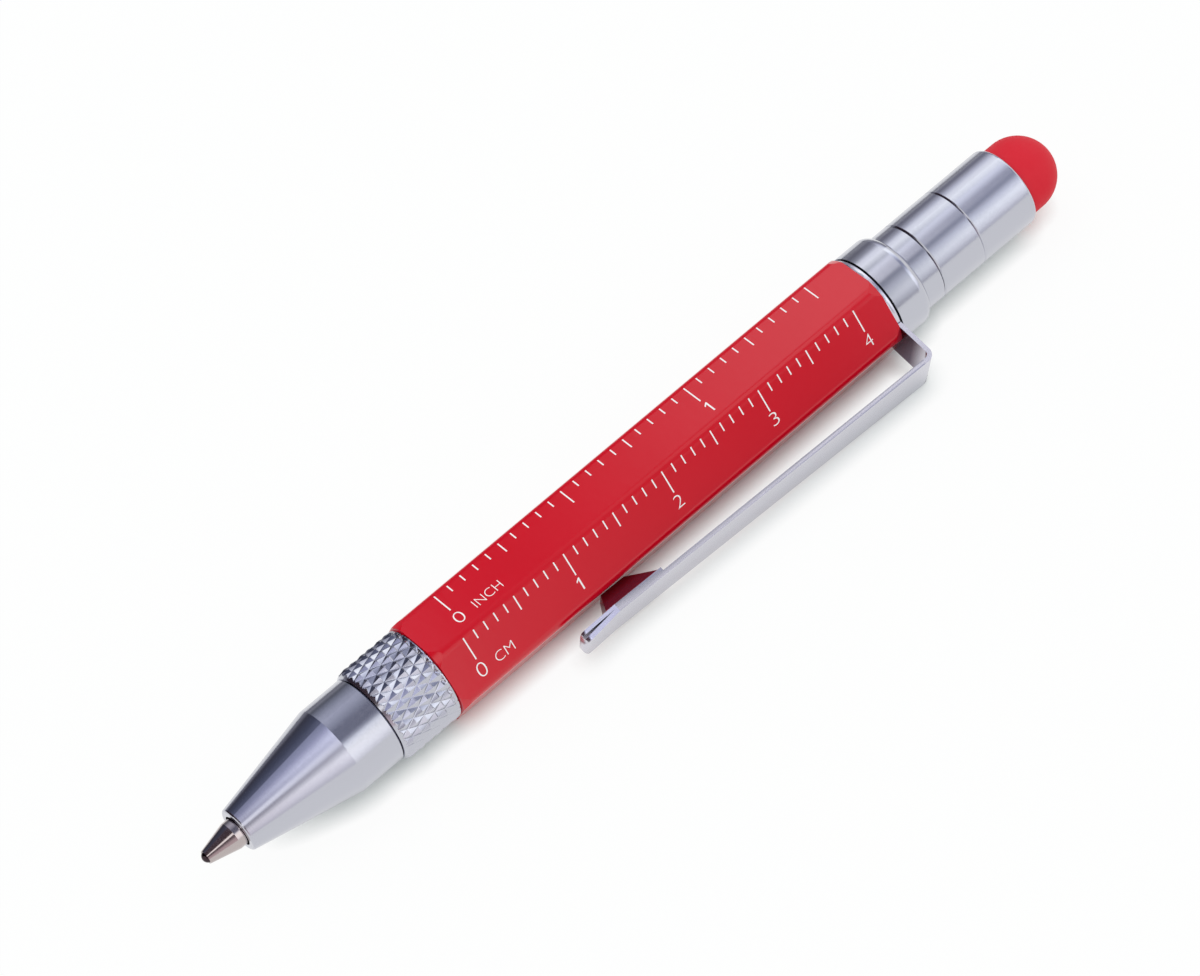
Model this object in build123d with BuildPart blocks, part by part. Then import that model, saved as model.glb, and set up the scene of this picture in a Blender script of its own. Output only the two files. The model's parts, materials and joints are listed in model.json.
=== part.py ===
from build123d import *

import math
import os

# Pocket multi tool pen: a hexagonal ruler barrel with a twist mechanism, a screw-off nose over
# a metal refill, and a screw-off stylus cap over a double-ended driver bit.
# Sizes are in millimetres. +X runs along the pen from the writing tip to the stylus, +Z is up,
# and the origin is the middle of the barrel flat that the pen lies on.

# Fits shared by many pieces
press_gap = 0.02
running_gap = 0.06
end_gap = 0.1
part_seam = 0.03
overrun = 1.0

# Hexagonal barrel
barrel_length = 45.4
barrel_flats = 8.1
barrel_sides = 6
barrel_corner_radius = 0.9
barrel_wall = 0.85
barrel_bevel_length = 0.7
barrel_end_ease = 0.25

# Knurled grip ring and the threaded bushing that carries it
grip_length = 5.37
grip_front_bevel_length = 0.45
grip_front_bevel_depth = 0.3
grip_back_bevel = 0.15
front_bushing_seat = 8.0
front_bushing_bore_radius = 1.6
spigot_length = 5.0

# Nose cone
nose_length = 12.93
nose_step = 0.33
nose_cylinder_length = 3.75
nose_mouth_radius = 1.82
nose_mouth_round = 0.2
nose_back_bevel = 0.12
nose_thread_wall = 0.95
nose_throat_radius = 2.0
mouth_bore_length = 2.5
mouth_gap = 0.15

# Metal refill
refill_radius = 1.155
refill_wall = 0.2
refill_reach = 3.36
refill_travel = 3.8
tip_cone_length = 2.74
tip_body_length = 5.0
tip_lip_wall = 0.08
shank_length = 3.0
ink_channel_radius = 0.25
ball_radius = 0.5
ball_reach = 0.3

# Twist mechanism
twist_angle = 180.0
sleeve_length = 13.4
sleeve_wall = 0.46
cam_setback = 1.0
cam_wall = 0.6
cam_floor = 0.9
slot_land = 1.08
socket_depth = 5.0
drive_pin_radius = 0.5
drive_pin_root = 0.9
drive_pin_web = 0.6

# Rear bushing, thrust washer and twist collar
rear_bushing_wall = 0.65
flange_inset = 0.4
flange_thickness = 0.2
washer_inset = 0.1
washer_thickness = 0.2
collar_gap = 0.17
collar_length = 3.12
collar_round_length = 0.75
collar_round_share = 0.85
neck_length = 1.85
neck_step = 0.53
groove_bevel = 0.1
shaft_wall = 0.52

# Driver bit, its holder and its magnet
bit_length = 15.0
bit_sides = 6
bit_hexagon_length = 7.5
bit_reach = 6.6
bit_neck_step = 0.45
blade_edge = 0.5
cross_tip_radius = 0.45
cross_flute_width = 0.9
cross_flute_depth = 0.95
cross_flute_count = 4
holder_collar_depth = 3.1
holder_spigot_length = 2.2
magnet_length = 1.0

# Stylus cap
cap_sleeve_length = 4.35
cap_wall = 0.7
cap_throat_step = 0.5
cap_thread_length = 2.7
cap_spigot_length = 2.0
ferrule_length = 5.7
ferrule_wall = 0.6
ferrule_web_length = 0.55
ferrule_web_step = 0.3
ferrule_back_round = 0.32
ferrule_lip = 0.38
stylus_reach = 4.5
stylus_wall = 0.75
core_length = 3.2
core_bevel = 0.6

# Spring steel clip
clip_thickness = 0.38
clip_ring_inset = 0.05
clip_angle = 107.0
clip_reach = 7.38
clip_tip_reach = 6.42
clip_root_width = 3.92
clip_shoulder_width = 3.1
clip_tip_width = 2.2
clip_tip_round = 0.8
clip_taper_length = 3.6
clip_bend_radius = 0.4
clip_bend_tail = 0.2
clip_arm_length = 34.8
clip_pivot_gap = 0.02
clip_barrel_gap = 0.08
clip_flare_length = 3.4
clip_flare_rise = 0.3
hem_thickness = 0.3
hem_margin = 0.1
hem_hollow_round = 0.1
pad_tip_gap = 2.8
pad_length = 5.3
pad_width = 2.7
pad_top_length = 2.3
pad_top_width = 1.5
pad_top_setback = 0.8

# Stations along the axis, from the barrel outwards
axis_height = barrel_flats / 2
barrel_front = -barrel_length / 2
barrel_back = barrel_length / 2
grip_front = barrel_front - grip_length
nose_back = grip_front - part_seam
nose_front = nose_back - nose_length
nose_shoulder = nose_back - nose_cylinder_length
spigot_front = nose_back - spigot_length
tip_front = nose_front - refill_reach

ring_back = barrel_back + clip_thickness
flange_back = ring_back + flange_thickness
washer_front = flange_back + running_gap
washer_back = washer_front + washer_thickness
thrust_face = washer_back + running_gap
collar_front = ring_back + collar_gap
collar_back = collar_front + collar_length
neck_back = collar_back + neck_length
holder_front = neck_back - holder_collar_depth
holder_back = neck_back + holder_spigot_length
cap_front = neck_back + part_seam
ferrule_front = cap_front + cap_sleeve_length
ferrule_back = ferrule_front + ferrule_length
cap_spigot_back = ferrule_front + cap_spigot_length
web_back = cap_spigot_back + ferrule_web_length
stylus_back = ferrule_back + stylus_reach

# The bit sets how deep its pocket goes, and the pocket sets where the mechanism and the
# refill end.
bit_back = neck_back + bit_reach
bit_front = bit_back - bit_length
magnet_back = bit_front - end_gap
magnet_front = magnet_back - magnet_length
cam_bottom = magnet_front - cam_floor
carrier_back = cam_bottom - end_gap - refill_travel
drive_pin_x = carrier_back - drive_pin_web - drive_pin_radius
refill_back = drive_pin_x - drive_pin_radius - drive_pin_web
carrier_front = refill_back - socket_depth
cam_shoulder = drive_pin_x + refill_travel + drive_pin_radius + slot_land
rear_bushing_front = cam_shoulder + end_gap
sleeve_front = cam_shoulder - sleeve_length
cam_front = sleeve_front + cam_setback

# Radii, from the outside inwards. The grip ring and the collar are as wide as the barrel's
# flats, so that the pen lies level.
grip_radius = barrel_flats / 2
collar_radius = barrel_flats / 2
nose_radius = grip_radius - nose_step
neck_radius = collar_radius - neck_step
stylus_radius = neck_radius - ferrule_lip - press_gap
clip_ring_radius = barrel_flats / 2 - clip_ring_inset
flange_radius = clip_ring_radius - flange_inset
washer_radius = flange_radius - washer_inset
collar_recess = flange_radius + running_gap
bore_radius = barrel_flats / 2 - barrel_wall
pressed_radius = bore_radius - press_gap
sleeve_bore = pressed_radius - sleeve_wall
cam_radius = sleeve_bore - running_gap
cam_bore = cam_radius - cam_wall
carrier_radius = cam_bore - running_gap
drive_pin_reach = bore_radius - end_gap
drive_slot_width = 2 * (drive_pin_radius + running_gap)
rear_bushing_bore = pressed_radius - rear_bushing_wall
shaft_radius = rear_bushing_bore - running_gap
pocket_radius = shaft_radius - shaft_wall
bit_corner_radius = pocket_radius - end_gap
bit_flats = 2 * bit_corner_radius * math.cos(math.pi / bit_sides)
bit_neck_radius = bit_corner_radius - bit_neck_step
cap_bore = neck_radius - cap_wall
holder_radius = cap_bore - running_gap
cap_throat = cap_bore - cap_throat_step
cap_spigot_radius = neck_radius - ferrule_wall - press_gap
web_radius = cap_throat - ferrule_web_step
nose_thread_bore = nose_radius - nose_thread_wall
spigot_radius = nose_thread_bore - running_gap
mouth_bore = refill_radius + mouth_gap
tube_bore = refill_radius - refill_wall
shank_radius = tube_bore - press_gap

side_plane = Plane(origin=(0, 0, axis_height), x_dir=(1, 0, 0), z_dir=(0, -1, 0))
pen_axis = Axis((0, 0, axis_height), (1, 0, 0))


def cross_plane(station):
    """Plane square to the pen at a station, with +Y to its right and +Z up."""
    return Plane(origin=(station, 0, axis_height), x_dir=(0, 1, 0), z_dir=(1, 0, 0))


def outline(*points):
    """Closed profile of (station, radius) points in the upright plane through the axis."""
    with BuildSketch(side_plane) as profile:
        with BuildLine():
            Polyline(*points, close=True)
        make_face()
    return profile.sketch


def tube_outline(front, back, outer, inner=0):
    """Profile of a plain tube, or of a rod where no inner radius is given."""
    return outline((front, inner), (back, inner), (back, outer), (front, outer))


def outer_rim(piece, end):
    """Largest circular edge at the front (0) or at the back (-1) of a turned piece."""
    circles = piece.edges().filter_by(GeomType.CIRCLE)
    return circles.group_by(Axis.X)[end].sort_by(SortBy.RADIUS)[-1]


os.makedirs("parts", exist_ok=True)


# Barrel: a hexagonal tube whose corners are turned back to a circle at both ends
corner_reach = (barrel_flats / 2 - barrel_corner_radius) / math.cos(math.pi / barrel_sides)
corner_reach = corner_reach + barrel_corner_radius
end_circle = barrel_flats / 2 + barrel_end_ease
bevel_run = barrel_bevel_length * (1 + overrun / (corner_reach - end_circle))
bevel_top = corner_reach + overrun

with BuildPart() as hex_barrel:
    with BuildSketch(cross_plane(barrel_front)) as hexagon:
        RegularPolygon(barrel_flats / 2, barrel_sides, major_radius=False)
        fillet(hexagon.vertices(), barrel_corner_radius)
    extrude(amount=barrel_length)
    bevelled_ends = outline(
        (barrel_front, 0),
        (barrel_front, end_circle),
        (barrel_front + bevel_run, bevel_top),
        (barrel_back - bevel_run, bevel_top),
        (barrel_back, end_circle),
        (barrel_back, 0),
    )
    revolve(bevelled_ends, axis=pen_axis, mode=Mode.INTERSECT)
    bore = tube_outline(barrel_front - overrun, barrel_back + overrun, bore_radius)
    revolve(bore, axis=pen_axis, mode=Mode.SUBTRACT)
hex_barrel.part.label = "hex_barrel"
export_step(hex_barrel.part, "parts/hex_barrel.step")


# Grip ring: held between the barrel and the nose by the front bushing
with BuildPart() as knurled_ring:
    grip_outline = outline(
        (grip_front, spigot_radius + press_gap),
        (grip_front, grip_radius - grip_front_bevel_depth),
        (grip_front + grip_front_bevel_length, grip_radius),
        (barrel_front - grip_back_bevel, grip_radius),
        (barrel_front, grip_radius - grip_back_bevel),
        (barrel_front, spigot_radius + press_gap),
    )
    revolve(grip_outline, axis=pen_axis)
knurled_ring.part.label = "knurled_ring"
export_step(knurled_ring.part, "parts/knurled_ring.step")


# Front bushing: pressed into the barrel, carries the grip ring and the nose's thread
with BuildPart() as front_bushing:
    front_bushing_outline = outline(
        (spigot_front, front_bushing_bore_radius),
        (spigot_front, spigot_radius),
        (barrel_front, spigot_radius),
        (barrel_front, pressed_radius),
        (barrel_front + front_bushing_seat, pressed_radius),
        (barrel_front + front_bushing_seat, front_bushing_bore_radius),
    )
    revolve(front_bushing_outline, axis=pen_axis)
front_bushing.part.label = "front_bushing"
export_step(front_bushing.part, "parts/front_bushing.step")


# Nose cone: a straight taper with a short cylinder behind it
nose_thread_front = spigot_front - end_gap

with BuildPart() as nose_cone:
    nose_outline = outline(
        (nose_front, mouth_bore),
        (nose_front, nose_mouth_radius),
        (nose_shoulder, nose_radius),
        (nose_back - nose_back_bevel, nose_radius),
        (nose_back, nose_radius - nose_back_bevel),
        (nose_back, nose_thread_bore),
        (nose_thread_front, nose_thread_bore),
        (nose_thread_front, nose_throat_radius),
        (nose_front + mouth_bore_length, mouth_bore),
    )
    revolve(nose_outline, axis=pen_axis)
    fillet(outer_rim(nose_cone, 0), nose_mouth_round)
nose_cone.part.label = "nose_cone"
export_step(nose_cone.part, "parts/nose_cone.step")


# Refill: a ball caged in a coned tip, whose shank is pressed into a metal ink tube
ball_x = tip_front + ball_radius
ball_place = Location((ball_x, 0, axis_height))
cone_back = tip_front + tip_cone_length
tip_body_back = cone_back + tip_body_length
shank_back = tip_body_back + shank_length
seat_radius = ball_radius + press_gap
tip_lip_radius = math.sqrt(seat_radius**2 - (ball_radius - ball_reach) ** 2) + tip_lip_wall

with BuildPart() as refill_ball:
    with Locations(ball_place):
        Sphere(ball_radius)
refill_ball.part.label = "refill_ball"
export_step(refill_ball.part, "parts/refill_ball.step")

with BuildPart() as refill_tip:
    tip_outline = outline(
        (tip_front + ball_reach, 0),
        (tip_front + ball_reach, tip_lip_radius),
        (cone_back, refill_radius),
        (tip_body_back, refill_radius),
        (tip_body_back, shank_radius),
        (shank_back, shank_radius),
        (shank_back, 0),
    )
    revolve(tip_outline, axis=pen_axis)
    ink_channel = tube_outline(ball_x, shank_back + overrun, ink_channel_radius)
    revolve(ink_channel, axis=pen_axis, mode=Mode.SUBTRACT)
    with Locations(ball_place):
        Sphere(seat_radius, mode=Mode.SUBTRACT)
refill_tip.part.label = "refill_tip"
export_step(refill_tip.part, "parts/refill_tip.step")

with BuildPart() as refill_tube:
    revolve(tube_outline(tip_body_back, refill_back, refill_radius, tube_bore), axis=pen_axis)
refill_tube.part.label = "refill_tube"
export_step(refill_tube.part, "parts/refill_tube.step")


# Refill carrier and the drive pin that the cam's groove pushes along the sleeve's slot
pin_middle = axis_height + (drive_pin_reach - drive_pin_root) / 2
pin_height = drive_pin_reach + drive_pin_root
pin_place = Location((drive_pin_x, 0, pin_middle))

with BuildPart() as refill_carrier:
    revolve(tube_outline(carrier_front, carrier_back, carrier_radius), axis=pen_axis)
    socket = tube_outline(carrier_front - overrun, refill_back, refill_radius + press_gap)
    revolve(socket, axis=pen_axis, mode=Mode.SUBTRACT)
    with Locations(pin_place):
        Cylinder(drive_pin_radius + press_gap, pin_height + press_gap, mode=Mode.SUBTRACT)
refill_carrier.part.label = "refill_carrier"
export_step(refill_carrier.part, "parts/refill_carrier.step")

with BuildPart() as drive_pin:
    with Locations(pin_place):
        Cylinder(drive_pin_radius, pin_height)
drive_pin.part.label = "drive_pin"
export_step(drive_pin.part, "parts/drive_pin.step")


# Mechanism sleeve: fixed in the barrel, its straight slot keeps the drive pin from turning
slot_plane = Plane(origin=(drive_pin_x + refill_travel / 2, 0, axis_height))

with BuildPart() as mechanism_sleeve:
    sleeve_tube = tube_outline(sleeve_front, cam_shoulder, pressed_radius, sleeve_bore)
    revolve(sleeve_tube, axis=pen_axis)
    with BuildSketch(slot_plane):
        SlotCenterToCenter(refill_travel, drive_slot_width)
    extrude(amount=bore_radius, mode=Mode.SUBTRACT)
mechanism_sleeve.part.label = "mechanism_sleeve"
export_step(mechanism_sleeve.part, "parts/mechanism_sleeve.step")


# Cam spindle: a left-hand helical slot over half a turn, and a hollow shaft to the collar.
# The slot starts at the top of the tube, where the drive pin stands when the tip is out.
helix_pitch = refill_travel * 360 / twist_angle
slot_mid_radius = (cam_radius + cam_bore) / 2
slot_depth = cam_wall + 2 * running_gap
slot_end_place = Location((drive_pin_x + refill_travel, 0, axis_height), (-twist_angle, 0, 0))

with BuildPart() as cam_spindle:
    spindle_outline = outline(
        (cam_front, cam_bore),
        (cam_front, cam_radius),
        (cam_shoulder, cam_radius),
        (cam_shoulder, shaft_radius),
        (holder_front, shaft_radius),
        (holder_front, pocket_radius),
        (magnet_front, pocket_radius),
        (magnet_front, 0),
        (cam_bottom, 0),
        (cam_bottom, cam_bore),
    )
    revolve(spindle_outline, axis=pen_axis)
    with BuildLine() as slot_path:
        Helix(
            helix_pitch,
            refill_travel,
            slot_mid_radius,
            center=(drive_pin_x, 0, axis_height),
            direction=(1, 0, 0),
            lefthand=True,
        )
    slot_section = Plane(origin=slot_path.line @ 0, x_dir=(0, 0, 1), z_dir=slot_path.line % 0)
    with BuildSketch(slot_section):
        Rectangle(slot_depth, drive_slot_width)
    sweep(path=slot_path.line, is_frenet=True, mode=Mode.SUBTRACT)
    with Locations((drive_pin_x, 0, axis_height), slot_end_place):
        Cylinder(
            drive_slot_width / 2,
            cam_radius + overrun,
            align=(Align.CENTER, Align.CENTER, Align.MIN),
            mode=Mode.SUBTRACT,
        )
cam_spindle.part.label = "cam_spindle"
export_step(cam_spindle.part, "parts/cam_spindle.step")


# Rear bushing: its flange clamps the clip's ring on the end of the barrel
with BuildPart() as rear_bushing:
    rear_bushing_outline = outline(
        (rear_bushing_front, rear_bushing_bore),
        (rear_bushing_front, pressed_radius),
        (ring_back, pressed_radius),
        (ring_back, flange_radius),
        (flange_back, flange_radius),
        (flange_back, rear_bushing_bore),
    )
    revolve(rear_bushing_outline, axis=pen_axis)
rear_bushing.part.label = "rear_bushing"
export_step(rear_bushing.part, "parts/rear_bushing.step")

with BuildPart() as thrust_washer:
    washer_outline = tube_outline(washer_front, washer_back, washer_radius, rear_bushing_bore)
    revolve(washer_outline, axis=pen_axis)
thrust_washer.part.label = "thrust_washer"
export_step(thrust_washer.part, "parts/thrust_washer.step")


# Twist collar: flush with the flats, with the slimmer neck behind it. A recess in its front
# face takes the flange and the washer.
collar_round_front = (collar_back - collar_round_length, collar_radius)
collar_round_back = (collar_back, collar_radius - neck_step * collar_round_share)

with BuildPart() as twist_collar:
    with BuildSketch(side_plane):
        with BuildLine():
            TangentArc(collar_round_front, collar_round_back, tangent=(1, 0))
            Polyline(
                collar_round_back,
                (collar_back, neck_radius),
                (neck_back - groove_bevel, neck_radius),
                (neck_back, neck_radius - groove_bevel),
                (neck_back, holder_radius + press_gap),
                (holder_front, holder_radius + press_gap),
                (holder_front, shaft_radius + press_gap),
                (thrust_face, shaft_radius + press_gap),
                (thrust_face, collar_recess),
                (collar_front, collar_recess),
                (collar_front, collar_radius),
                collar_round_front,
            )
        make_face()
    revolve(axis=pen_axis)
twist_collar.part.label = "twist_collar"
export_step(twist_collar.part, "parts/twist_collar.step")


# Bit holder: pressed into the collar, threaded outside for the cap, hexagonal inside
with BuildPart() as bit_holder:
    revolve(tube_outline(holder_front, holder_back, holder_radius), axis=pen_axis)
    with BuildSketch(cross_plane(holder_front)):
        RegularPolygon(bit_flats / 2 + running_gap, bit_sides, major_radius=False)
    extrude(amount=holder_back - holder_front, mode=Mode.SUBTRACT)
bit_holder.part.label = "bit_holder"
export_step(bit_holder.part, "parts/bit_holder.step")

with BuildPart() as bit_magnet:
    magnet_outline = tube_outline(magnet_front, magnet_back, pocket_radius - press_gap)
    revolve(magnet_outline, axis=pen_axis)
bit_magnet.part.label = "bit_magnet"
export_step(bit_magnet.part, "parts/bit_magnet.step")


# Driver bit: a flat blade at the back end, a cross point at the front end
bit_end_length = (bit_length - bit_hexagon_length) / 2
blade_root = bit_back - bit_end_length
cross_root = bit_front + bit_end_length
flute_turn = 360 / cross_flute_count / 2

with BuildPart() as blade_end:
    revolve(tube_outline(blade_root, bit_back, bit_neck_radius), axis=pen_axis)
    wedge = outline(
        (blade_root, -bit_neck_radius),
        (blade_root, bit_neck_radius),
        (bit_back, blade_edge / 2),
        (bit_back, -blade_edge / 2),
    )
    extrude(wedge, amount=bit_flats, both=True, mode=Mode.INTERSECT)

with BuildPart() as cross_end:
    cross_outline = outline(
        (cross_root, 0),
        (cross_root, bit_neck_radius),
        (bit_front + bit_neck_radius, bit_neck_radius),
        (bit_front, cross_tip_radius),
        (bit_front, 0),
    )
    revolve(cross_outline, axis=pen_axis)
    with BuildSketch(cross_plane(bit_front - overrun)):
        with PolarLocations(cross_flute_depth, cross_flute_count, start_angle=flute_turn):
            Rectangle(cross_flute_width, cross_flute_width, rotation=flute_turn)
    extrude(amount=overrun + bit_end_length / 2, mode=Mode.SUBTRACT)

with BuildPart() as driver_bit:
    with BuildSketch(cross_plane(cross_root)):
        RegularPolygon(bit_flats / 2, bit_sides, major_radius=False)
    extrude(amount=bit_hexagon_length)
    add(blade_end.part)
    add(cross_end.part)
driver_bit.part.label = "driver_bit"
export_step(driver_bit.part, "parts/driver_bit.step")


# Stylus cap: a threaded sleeve, the ferrule pressed on it, the rubber tip and its core
cap_thread_back = cap_front + cap_thread_length

with BuildPart() as cap_sleeve:
    cap_outline = outline(
        (cap_front, cap_bore),
        (cap_front, neck_radius - groove_bevel),
        (cap_front + groove_bevel, neck_radius),
        (ferrule_front - groove_bevel, neck_radius),
        (ferrule_front, neck_radius - groove_bevel),
        (ferrule_front, cap_spigot_radius),
        (cap_spigot_back, cap_spigot_radius),
        (cap_spigot_back, cap_throat),
        (cap_thread_back, cap_throat),
        (cap_thread_back, cap_bore),
    )
    revolve(cap_outline, axis=pen_axis)
cap_sleeve.part.label = "cap_sleeve"
export_step(cap_sleeve.part, "parts/cap_sleeve.step")

with BuildPart() as stylus_ferrule:
    ferrule_outline = outline(
        (ferrule_front, cap_spigot_radius + press_gap),
        (ferrule_front, neck_radius - groove_bevel),
        (ferrule_front + groove_bevel, neck_radius),
        (ferrule_back, neck_radius),
        (ferrule_back, stylus_radius + press_gap),
        (web_back, stylus_radius + press_gap),
        (web_back, web_radius),
        (cap_spigot_back, web_radius),
        (cap_spigot_back, cap_spigot_radius + press_gap),
    )
    revolve(ferrule_outline, axis=pen_axis)
    fillet(outer_rim(stylus_ferrule, -1), ferrule_back_round)
stylus_ferrule.part.label = "stylus_ferrule"
export_step(stylus_ferrule.part, "parts/stylus_ferrule.step")

dome_base = stylus_back - stylus_radius
stylus_bore = stylus_radius - stylus_wall
arc_share = math.sqrt(0.5)

with BuildPart() as stylus_tip:
    with BuildSketch(side_plane):
        with BuildLine():
            Polyline(
                (dome_base, stylus_bore),
                (web_back, stylus_bore),
                (web_back, stylus_radius),
                (dome_base, stylus_radius),
            )
            ThreePointArc(
                (dome_base, stylus_radius),
                (dome_base + stylus_radius * arc_share, stylus_radius * arc_share),
                (dome_base + stylus_radius, 0),
            )
            Line((dome_base + stylus_radius, 0), (dome_base + stylus_bore, 0))
            ThreePointArc(
                (dome_base + stylus_bore, 0),
                (dome_base + stylus_bore * arc_share, stylus_bore * arc_share),
                (dome_base, stylus_bore),
            )
        make_face()
    revolve(axis=pen_axis)
stylus_tip.part.label = "stylus_tip"
export_step(stylus_tip.part, "parts/stylus_tip.step")

with BuildPart() as tip_core:
    core_radius = stylus_bore - press_gap
    core_outline = outline(
        (web_back, 0),
        (web_back, core_radius),
        (web_back + core_length - core_bevel, core_radius),
        (web_back + core_length, core_radius - core_bevel),
        (web_back + core_length, 0),
    )
    revolve(core_outline, axis=pen_axis)
tip_core.part.label = "tip_core"
export_step(tip_core.part, "parts/tip_core.step")


# Clip: one strip of spring steel, bent at the ring and folded back on itself at the tip.
# It is two pieces here, which meet just past the bend, so that the arm can flex.
# clip_out points from the pen axis to the strip, and clip_side runs across its width.
clip_turn = math.radians(clip_angle)
clip_out = Vector(0, -math.sin(clip_turn), math.cos(clip_turn))
clip_side = Vector(1, 0, 0).cross(clip_out)
clip_plane = Plane(origin=(0, 0, axis_height), x_dir=(1, 0, 0), z_dir=clip_side)
clip_split = ring_back - clip_thickness - clip_bend_radius - clip_bend_tail

with BuildPart() as clip_ring:
    ring_outline = tube_outline(barrel_back, ring_back, clip_ring_radius, bore_radius)
    revolve(ring_outline, axis=pen_axis)
    with BuildSketch(clip_plane) as leg:
        with BuildLine():
            Polyline(
                (barrel_back, clip_ring_radius - barrel_wall / 2),
                (barrel_back, clip_reach - clip_thickness),
                (clip_split, clip_reach - clip_thickness),
                (clip_split, clip_reach),
                (ring_back, clip_reach),
                (ring_back, clip_ring_radius - barrel_wall / 2),
                close=True,
            )
        make_face()
        inner_bend = leg.vertices().group_by(Axis.X)[-2].sort_by(SortBy.DISTANCE)[-1]
        fillet(inner_bend, clip_bend_radius)
        outer_bend = leg.vertices().group_by(Axis.X)[-1].sort_by(SortBy.DISTANCE)[-1]
        fillet(outer_bend, clip_bend_radius + clip_thickness)
    extrude(amount=clip_root_width / 2, both=True)
clip_ring.part.label = "clip_ring"
export_step(clip_ring.part, "parts/clip_ring.step")

# The arm is drawn in its own frame: along it from the split, and outwards from its outer face.
clip_lean = math.asin((clip_reach - clip_tip_reach) / clip_arm_length)
arm_along = -math.cos(clip_lean) * Vector(1, 0, 0) - math.sin(clip_lean) * clip_out
arm_out = math.cos(clip_lean) * clip_out - math.sin(clip_lean) * Vector(1, 0, 0)
pivot = Vector(clip_split, 0, axis_height) + clip_reach * clip_out
arm_side_plane = Plane(origin=pivot, x_dir=arm_along, z_dir=arm_along.cross(arm_out))
arm_face_plane = Plane(origin=pivot, x_dir=arm_along, z_dir=arm_out)
hem_depth = clip_thickness + hem_thickness
pad_start = clip_arm_length - pad_tip_gap - pad_length
hem_start = pad_start - hem_margin

# The tip flares outwards, and the strip folds back straight, so a wedge stays open between
# them. It ends one strip short of the fold.
flare_start = clip_arm_length - clip_flare_length
hollow_end = clip_arm_length - hem_thickness
hollow_rise = clip_flare_rise * (hollow_end - flare_start) / clip_flare_length
fold_flat = clip_flare_rise + hem_depth - 2 * press_gap
flare_angle = math.atan(clip_flare_rise / clip_flare_length)
fold_round = fold_flat / (1 + math.tan(math.pi / 4 + flare_angle / 2))

# The pad's flat top stands just clear of the barrel's flat, which it faces at a slant.
face_slant = math.radians(360 / barrel_sides * 2 - clip_angle)
pad_clear = barrel_flats / 2 + pad_top_width / 2 * math.sin(face_slant)
pad_clear = pad_clear / math.cos(face_slant) + clip_barrel_gap
pad_middle = pad_start + pad_length / 2
pad_height = clip_reach - pad_middle * math.sin(clip_lean) - hem_depth - pad_clear

with BuildPart() as clip_arm:
    with BuildSketch(arm_side_plane) as strip:
        with BuildLine():
            Polyline(
                (clip_pivot_gap, 0),
                (flare_start, 0),
                (clip_arm_length, clip_flare_rise),
                (clip_arm_length, -hem_depth),
                (hem_start, -hem_depth),
                (hem_start, -clip_thickness),
                (clip_pivot_gap, -clip_thickness),
                close=True,
            )
        make_face()
        fillet(strip.vertices().sort_by(SortBy.DISTANCE)[-2:], fold_round)
        with BuildSketch(mode=Mode.SUBTRACT) as hollow:
            with BuildLine():
                Polyline(
                    (flare_start, -clip_thickness),
                    (hollow_end, hollow_rise - clip_thickness),
                    (hollow_end, -clip_thickness),
                    close=True,
                )
            make_face()
            fillet(hollow.vertices().sort_by(SortBy.DISTANCE)[-2:], hem_hollow_round)
    extrude(amount=clip_root_width / 2, both=True)
    with BuildSketch(arm_face_plane) as plan:
        with BuildLine():
            Polyline(
                (0, -clip_root_width / 2),
                (0, clip_root_width / 2),
                (clip_arm_length - clip_taper_length, clip_shoulder_width / 2),
                (clip_arm_length, clip_tip_width / 2),
                (clip_arm_length, -clip_tip_width / 2),
                (clip_arm_length - clip_taper_length, -clip_shoulder_width / 2),
                close=True,
            )
        make_face()
        fillet(plan.vertices().sort_by(SortBy.DISTANCE)[-2:], clip_tip_round)
    extrude(amount=clip_reach, both=True, mode=Mode.INTERSECT)
    with BuildSketch(arm_face_plane.offset(-hem_depth)):
        with Locations((pad_start, 0)):
            Rectangle(pad_length, pad_width, align=(Align.MIN, Align.CENTER))
    with BuildSketch(arm_face_plane.offset(-hem_depth - pad_height)):
        with Locations((pad_start + pad_length - pad_top_setback, 0)):
            Rectangle(pad_top_length, pad_top_width, align=(Align.MAX, Align.CENTER))
    loft(ruled=True)
clip_arm.part.label = "clip_arm"
export_step(clip_arm.part, "parts/clip_arm.step")

print("refill length", round(refill_back - tip_front, 2))
print("overall length", round(stylus_back - tip_front, 2))
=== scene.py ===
"""Pocket multi tool pen, dressed for its studio picture.

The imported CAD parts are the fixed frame. This script gives each of them its finish, cuts
the knurl of the grip ring, joins the clip into one strip of spring steel and prints the
ruler scales on the barrel. Everything is in metres, in the CAD's own frame: +X runs from
the writing tip to the stylus, and +Z is up.
"""

import json
import math

import bmesh
import bpy
from mathutils import Matrix, Vector


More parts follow.
